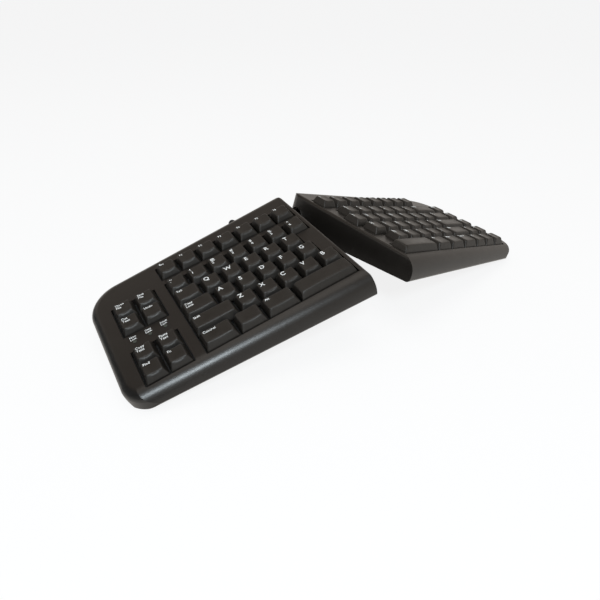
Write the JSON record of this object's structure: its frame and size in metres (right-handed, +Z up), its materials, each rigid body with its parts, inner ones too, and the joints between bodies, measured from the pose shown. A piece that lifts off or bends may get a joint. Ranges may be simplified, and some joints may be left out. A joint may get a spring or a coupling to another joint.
{
  "type": "ergonomic split keyboard",
  "caption": "Two wedge-shaped keyboard halves, tented and splayed on one lockable ball joint, with staggered key rows, side key clusters and rubber feet.",
  "frame": {"origin": "middle of the part's box at the surface it stands on, with the halves splayed and tented as pictured", "axes": "+X to the right half, along the keyboard; +Y to the back; +Z up"},
  "size_m": [0.4268, 0.1694, 0.0803],
  "materials": {
    "case": "matte charcoal, fine moulded grain",
    "base": "matte black",
    "key_plastic": "satin black",
    "key_guide": "moulded dark grey",
    "dome_rubber": "translucent silicone",
    "membrane_film": "printed film",
    "plate_steel": "galvanised sheet",
    "board": "green board",
    "lens": "clear lens, unlit",
    "foot_rubber": "black rubber",
    "gland_rubber": "black rubber",
    "screw_steel": "zinc plated",
    "joint_steel": "machined",
    "liner_plastic": "natural acetal",
    "lever_plastic": "matte black"
  },
  "bodies": {
    "left_half": {"left_cover": "case", "left_base": "base", "left_key_guide": "key_guide", "left_dome_sheet": "dome_rubber", "left_membrane": "membrane_film", "left_backing_plate": "plate_steel", "controller_board": "board", "indicator_lenses": "lens", "left_feet": "foot_rubber", "left_screws": "screw_steel", "cord_gland": "gland_rubber", "socket_front": "joint_steel", "socket_rear": "joint_steel", "lever_pin": "screw_steel"},
    "lock_lever": {"lock_lever": "lever_plastic"},
    "swivel": {"ball_liner": "liner_plastic"},
    "right_half": {"right_cover": "case", "right_base": "base", "right_key_guide": "key_guide", "right_dome_sheet": "dome_rubber", "right_membrane": "membrane_film", "right_backing_plate": "plate_steel", "right_feet": "foot_rubber", "right_screws": "screw_steel", "ball_stud": "joint_steel"},
    "escape_key": {"escape_key": "key_plastic"},
    "left_function_keys": {"left_function_keys": "key_plastic"},
    "left_number_keys": {"left_number_keys": "key_plastic"},
    "tab_key": {"tab_key": "key_plastic"},
    "left_upper_keys": {"left_upper_keys": "key_plastic"},
    "caps_lock_key": {"caps_lock_key": "key_plastic"},
    "left_home_keys": {"left_home_keys": "key_plastic"},
    "left_shift_key": {"left_shift_key": "key_plastic"},
    "left_lower_keys": {"left_lower_keys": "key_plastic"},
    "left_control_key": {"left_control_key": "key_plastic"},
    "system_key": {"system_key": "key_plastic"},
    "left_alt_key": {"left_alt_key": "key_plastic"},
    "left_space_key": {"left_space_key": "key_plastic"},
    "side_upper_keys": {"side_upper_keys": "key_plastic"},
    "side_lower_keys": {"side_lower_keys": "key_plastic"},
    "right_function_keys": {"right_function_keys": "key_plastic"},
    "right_number_keys": {"right_number_keys": "key_plastic"},
    "backspace_key": {"backspace_key": "key_plastic"},
    "right_upper_keys": {"right_upper_keys": "key_plastic"},
    "backslash_key": {"backslash_key": "key_plastic"},
    "right_home_keys": {"right_home_keys": "key_plastic"},
    "enter_key": {"enter_key": "key_plastic"},
    "right_lower_keys": {"right_lower_keys": "key_plastic"},
    "right_shift_key": {"right_shift_key": "key_plastic"},
    "right_space_key": {"right_space_key": "key_plastic"},
    "right_alt_key": {"right_alt_key": "key_plastic"},
    "menu_key": {"menu_key": "key_plastic"},
    "right_control_key": {"right_control_key": "key_plastic"},
    "page_keys": {"page_keys": "key_plastic"},
    "arrow_keys": {"arrow_keys": "key_plastic"}
  },
  "joints": [
    {"name": "splay", "type": "hinge", "parent": "left_half", "child": "swivel", "pos_m": [0, 0.06344, 0.05805], "axis": [0, 0, 1], "range_deg": [-13, 17]},
    {"name": "tent", "type": "hinge", "parent": "swivel", "child": "right_half", "pos_m": [0, 0.06344, 0.05805], "axis": [-0.1132, 0.9936, 0], "range_deg": [-26.5, 0]},
    {"name": "lock_lever_turn", "type": "hinge", "parent": "left_half", "child": "lock_lever", "pos_m": [-0.01971, 0.07428, 0.0552], "axis": [0.2277, -0.0259, -0.9734], "range_deg": [0, 90]},
    {"name": "escape_press", "type": "slide", "parent": "left_half", "child": "escape_key", "axis": [0.266, 0.0574, -0.9623], "range_m": [0, 0.0035], "stiffness_N_per_m": 157, "springref_m": -0.001, "deforming": ["left_dome_sheet"]},
    {"name": "left_function_press", "type": "slide", "parent": "left_half", "child": "left_function_keys", "axis": [0.266, 0.0574, -0.9623], "range_m": [0, 0.0035], "stiffness_N_per_m": 942, "springref_m": -0.001, "deforming": ["left_dome_sheet"]},
    {"name": "left_number_press", "type": "slide", "parent": "left_half", "child": "left_number_keys", "axis": [0.266, 0.0574, -0.9623], "range_m": [0, 0.0035], "stiffness_N_per_m": 1099, "springref_m": -0.001, "deforming": ["left_dome_sheet"]},
    {"name": "tab_press", "type": "slide", "parent": "left_half", "child": "tab_key", "axis": [0.266, 0.0574, -0.9623], "range_m": [0, 0.0035], "stiffness_N_per_m": 157, "springref_m": -0.001, "deforming": ["left_dome_sheet"]},
    {"name": "left_upper_press", "type": "slide", "parent": "left_half", "child": "left_upper_keys", "axis": [0.266, 0.0574, -0.9623], "range_m": [0, 0.0035], "stiffness_N_per_m": 785, "springref_m": -0.001, "deforming": ["left_dome_sheet"]},
    {"name": "caps_lock_press", "type": "slide", "parent": "left_half", "child": "caps_lock_key", "axis": [0.266, 0.0574, -0.9623], "range_m": [0, 0.0035], "stiffness_N_per_m": 157, "springref_m": -0.001, "deforming": ["left_dome_sheet"]},
    {"name": "left_home_press", "type": "slide", "parent": "left_half", "child": "left_home_keys", "axis": [0.266, 0.0574, -0.9623], "range_m": [0, 0.0035], "stiffness_N_per_m": 785, "springref_m": -0.001, "deforming": ["left_dome_sheet"]},
    {"name": "left_shift_press", "type": "slide", "parent": "left_half", "child": "left_shift_key", "axis": [0.266, 0.0574, -0.9623], "range_m": [0, 0.0035], "stiffness_N_per_m": 157, "springref_m": -0.001, "deforming": ["left_dome_sheet"]},
    {"name": "left_lower_press", "type": "slide", "parent": "left_half", "child": "left_lower_keys", "axis": [0.266, 0.0574, -0.9623], "range_m": [0, 0.0035], "stiffness_N_per_m": 785, "springref_m": -0.001, "deforming": ["left_dome_sheet"]},
    {"name": "left_control_press", "type": "slide", "parent": "left_half", "child": "left_control_key", "axis": [0.266, 0.0574, -0.9623], "range_m": [0, 0.0035], "stiffness_N_per_m": 157, "springref_m": -0.001, "deforming": ["left_dome_sheet"]},
    {"name": "system_press", "type": "slide", "parent": "left_half", "child": "system_key", "axis": [0.266, 0.0574, -0.9623], "range_m": [0, 0.0035], "stiffness_N_per_m": 157, "springref_m": -0.001, "deforming": ["left_dome_sheet"]},
    {"name": "left_alt_press", "type": "slide", "parent": "left_half", "child": "left_alt_key", "axis": [0.266, 0.0574, -0.9623], "range_m": [0, 0.0035], "stiffness_N_per_m": 157, "springref_m": -0.001, "deforming": ["left_dome_sheet"]},
    {"name": "left_space_press", "type": "slide", "parent": "left_half", "child": "left_space_key", "axis": [0.266, 0.0574, -0.9623], "range_m": [0, 0.0035], "stiffness_N_per_m": 157, "springref_m": -0.001, "deforming": ["left_dome_sheet"]},
    {"name": "side_upper_press", "type": "slide", "parent": "left_half", "child": "side_upper_keys", "axis": [0.266, 0.0574, -0.9623], "range_m": [0, 0.0035], "stiffness_N_per_m": 628, "springref_m": -0.001, "deforming": ["left_dome_sheet"]},
    {"name": "side_lower_press", "type": "slide", "parent": "left_half", "child": "side_lower_keys", "axis": [0.266, 0.0574, -0.9623], "range_m": [0, 0.0035], "stiffness_N_per_m": 628, "springref_m": -0.001, "deforming": ["left_dome_sheet"]},
    {"name": "right_function_press", "type": "slide", "parent": "right_half", "child": "right_function_keys", "axis": [-0.266, 0.0574, -0.9623], "range_m": [0, 0.0035], "stiffness_N_per_m": 1256, "springref_m": -0.001, "deforming": ["right_dome_sheet"]},
    {"name": "right_number_press", "type": "slide", "parent": "right_half", "child": "right_number_keys", "axis": [-0.266, 0.0574, -0.9623], "range_m": [0, 0.0035], "stiffness_N_per_m": 942, "springref_m": -0.001, "deforming": ["right_dome_sheet"]},
    {"name": "backspace_press", "type": "slide", "parent": "right_half", "child": "backspace_key", "axis": [-0.266, 0.0574, -0.9623], "range_m": [0, 0.0035], "stiffness_N_per_m": 157, "springref_m": -0.001, "deforming": ["right_dome_sheet"]},
    {"name": "right_upper_press", "type": "slide", "parent": "right_half", "child": "right_upper_keys", "axis": [-0.266, 0.0574, -0.9623], "range_m": [0, 0.0035], "stiffness_N_per_m": 1099, "springref_m": -0.001, "deforming": ["right_dome_sheet"]},
    {"name": "backslash_press", "type": "slide", "parent": "right_half", "child": "backslash_key", "axis": [-0.266, 0.0574, -0.9623], "range_m": [0, 0.0035], "stiffness_N_per_m": 157, "springref_m": -0.001, "deforming": ["right_dome_sheet"]},
    {"name": "right_home_press", "type": "slide", "parent": "right_half", "child": "right_home_keys", "axis": [-0.266, 0.0574, -0.9623], "range_m": [0, 0.0035], "stiffness_N_per_m": 942, "springref_m": -0.001, "deforming": ["right_dome_sheet"]},
    {"name": "enter_press", "type": "slide", "parent": "right_half", "child": "enter_key", "axis": [-0.266, 0.0574, -0.9623], "range_m": [0, 0.0035], "stiffness_N_per_m": 157, "springref_m": -0.001, "deforming": ["right_dome_sheet"]},
    {"name": "right_lower_press", "type": "slide", "parent": "right_half", "child": "right_lower_keys", "axis": [-0.266, 0.0574, -0.9623], "range_m": [0, 0.0035], "stiffness_N_per_m": 785, "springref_m": -0.001, "deforming": ["right_dome_sheet"]},
    {"name": "right_shift_press", "type": "slide", "parent": "right_half", "child": "right_shift_key", "axis": [-0.266, 0.0574, -0.9623], "range_m": [0, 0.0035], "stiffness_N_per_m": 157, "springref_m": -0.001, "deforming": ["right_dome_sheet"]},
    {"name": "right_space_press", "type": "slide", "parent": "right_half", "child": "right_space_key", "axis": [-0.266, 0.0574, -0.9623], "range_m": [0, 0.0035], "stiffness_N_per_m": 157, "springref_m": -0.001, "deforming": ["right_dome_sheet"]},
    {"name": "right_alt_press", "type": "slide", "parent": "right_half", "child": "right_alt_key", "axis": [-0.266, 0.0574, -0.9623], "range_m": [0, 0.0035], "stiffness_N_per_m": 157, "springref_m": -0.001, "deforming": ["right_dome_sheet"]},
    {"name": "menu_press", "type": "slide", "parent": "right_half", "child": "menu_key", "axis": [-0.266, 0.0574, -0.9623], "range_m": [0, 0.0035], "stiffness_N_per_m": 157, "springref_m": -0.001, "deforming": ["right_dome_sheet"]},
    {"name": "right_control_press", "type": "slide", "parent": "right_half", "child": "right_control_key", "axis": [-0.266, 0.0574, -0.9623], "range_m": [0, 0.0035], "stiffness_N_per_m": 157, "springref_m": -0.001, "deforming": ["right_dome_sheet"]},
    {"name": "page_press", "type": "slide", "parent": "right_half", "child": "page_keys", "axis": [-0.266, 0.0574, -0.9623], "range_m": [0, 0.0035], "stiffness_N_per_m": 628, "springref_m": -0.001, "deforming": ["right_dome_sheet"]},
    {"name": "arrow_press", "type": "slide", "parent": "right_half", "child": "arrow_keys", "axis": [-0.266, 0.0574, -0.9623], "range_m": [0, 0.0035], "stiffness_N_per_m": 628, "springref_m": -0.001, "deforming": ["right_dome_sheet"]}
  ]
}
